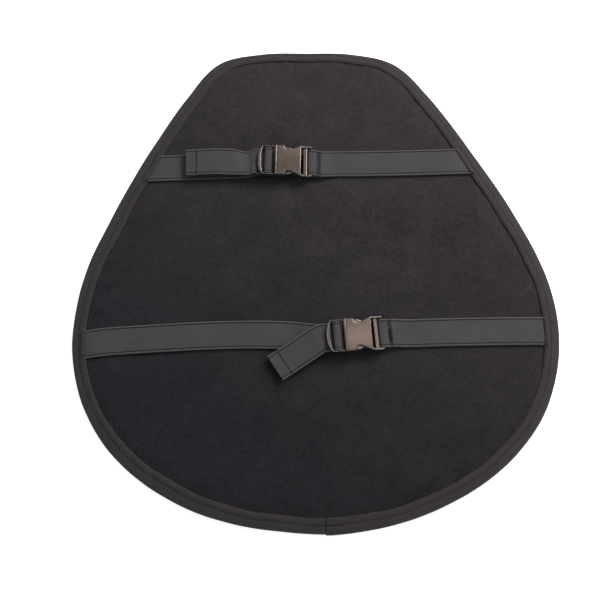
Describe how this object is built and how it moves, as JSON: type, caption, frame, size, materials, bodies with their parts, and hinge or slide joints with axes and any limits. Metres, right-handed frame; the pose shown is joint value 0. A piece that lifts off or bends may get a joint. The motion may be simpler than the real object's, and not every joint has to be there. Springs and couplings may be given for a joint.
{
  "type": "kick shield",
  "caption": "Flat egg-shaped padded kick shield with a taped edge and webbing body straps across its back, each closed by a side-release buckle with an adjuster.",
  "frame": {"origin": "under the middle of the panel, on the plane its strike face rests on", "axes": "+Z out of the strap side, +Y towards the narrow end, straps run along X with their adjuster halves at -X"},
  "size_m": [0.4134, 0.4328, 0.025],
  "materials": {
    "strike_face": "matte grained synthetic leather",
    "back_fabric": "matte brushed knit",
    "soft_foam": "closed-cell foam",
    "firm_foam": "dense closed-cell foam",
    "binding_tape": "ribbed woven tape",
    "webbing": "woven elastic webbing",
    "buckle_plastic": "satin moulded acetal",
    "thread": "bonded polyester thread"
  },
  "bodies": {
    "panel": {"strike_cover": "strike_face", "impact_foam_soft": "soft_foam", "backing_foam_firm": "firm_foam", "back_cover": "back_fabric", "edge_binding_tape": "binding_tape", "binding_lap_end": "binding_tape", "binding_thread_back": "thread", "binding_thread_front": "thread"},
    "upper_right_strap": {"upper_webbing_right": "webbing", "upper_buckle_socket": "buckle_plastic", "upper_fold_stitch": "thread"},
    "upper_left_strap": {"upper_webbing_left": "webbing"},
    "upper_plug": {"upper_buckle_plug": "buckle_plastic", "upper_adjuster_loop": "webbing"},
    "upper_prong_top": {"upper_latch_prong_top": "buckle_plastic"},
    "upper_prong_bottom": {"upper_latch_prong_bottom": "buckle_plastic"},
    "upper_tail": {"upper_webbing_tail": "webbing", "upper_tail_hem_stitch": "thread"},
    "lower_right_strap": {"lower_webbing_right": "webbing", "lower_buckle_socket": "buckle_plastic", "lower_fold_stitch": "thread"},
    "lower_left_strap": {"lower_webbing_left": "webbing"},
    "lower_plug": {"lower_buckle_plug": "buckle_plastic", "lower_adjuster_loop": "webbing"},
    "lower_prong_top": {"lower_latch_prong_top": "buckle_plastic"},
    "lower_prong_bottom": {"lower_latch_prong_bottom": "buckle_plastic"},
    "lower_tail": {"lower_webbing_tail": "webbing", "lower_tail_hem_stitch": "thread"}
  },
  "joints": [
    {"name": "upper_strap_lift", "type": "slide", "parent": "panel", "child": "upper_right_strap", "axis": [0, 0, 1], "range_m": [0, 0.035], "deforming": ["upper_webbing_right"]},
    {"name": "upper_strap_lift_left", "type": "slide", "parent": "panel", "child": "upper_left_strap", "axis": [0, 0, 1], "range_m": [0, 0.035], "deforming": ["upper_webbing_left"]},
    {"name": "upper_buckle_release", "type": "slide", "parent": "upper_left_strap", "child": "upper_plug", "axis": [-0.9952, 0.0435, 0.0872], "range_m": [0, 0.026], "deforming": ["upper_latch_prong_top", "upper_latch_prong_bottom", "upper_webbing_left"]},
    {"name": "upper_prong_squeeze", "type": "hinge", "parent": "upper_plug", "child": "upper_prong_top", "pos_m": [-0.0283, 0.11345, 0.02094], "axis": [-0.0871, 0.0038, -0.9962], "range_deg": [0, 8]},
    {"name": "upper_prong_squeeze_bottom", "type": "hinge", "parent": "upper_plug", "child": "upper_prong_bottom", "pos_m": [-0.02917, 0.09347, 0.02094], "axis": [-0.0871, 0.0038, -0.9962], "range_deg": [-8, 0]},
    {"name": "upper_tail_flap", "type": "hinge", "parent": "upper_plug", "child": "upper_tail", "pos_m": [-0.04764, 0.10429, 0.02034], "axis": [0.0436, 0.999, 0], "range_deg": [0, 70]},
    {"name": "lower_strap_lift", "type": "slide", "parent": "panel", "child": "lower_right_strap", "axis": [0, 0, 1], "range_m": [0, 0.035], "deforming": ["lower_webbing_right"]},
    {"name": "lower_strap_lift_left", "type": "slide", "parent": "panel", "child": "lower_left_strap", "axis": [0, 0, 1], "range_m": [0, 0.035], "deforming": ["lower_webbing_left"]},
    {"name": "lower_buckle_release", "type": "slide", "parent": "lower_left_strap", "child": "lower_plug", "axis": [-0.9944, -0.0591, 0.0872], "range_m": [0, 0.026], "deforming": ["lower_latch_prong_top", "lower_latch_prong_bottom", "lower_webbing_left"]},
    {"name": "lower_prong_squeeze", "type": "hinge", "parent": "lower_plug", "child": "lower_prong_top", "pos_m": [0.02577, -0.04598, 0.02064], "axis": [-0.087, -0.0052, -0.9962], "range_deg": [0, 8]},
    {"name": "lower_prong_squeeze_bottom", "type": "hinge", "parent": "lower_plug", "child": "lower_prong_bottom", "pos_m": [0.02696, -0.06594, 0.02064], "axis": [-0.087, -0.0052, -0.9962], "range_deg": [-8, 0]},
    {"name": "lower_tail_flap", "type": "hinge", "parent": "lower_plug", "child": "lower_tail", "pos_m": [0.00747, -0.05708, 0.02004], "axis": [-0.0593, 0.9982, 0], "range_deg": [0, 70]}
  ],
  "couplings": [
    {"joint": "upper_strap_lift_left", "follows": "upper_strap_lift", "ratio": 1},
    {"joint": "upper_prong_squeeze_bottom", "follows": "upper_prong_squeeze", "ratio": -1},
    {"joint": "lower_strap_lift_left", "follows": "lower_strap_lift", "ratio": 1},
    {"joint": "lower_prong_squeeze_bottom", "follows": "lower_prong_squeeze", "ratio": -1}
  ]
}
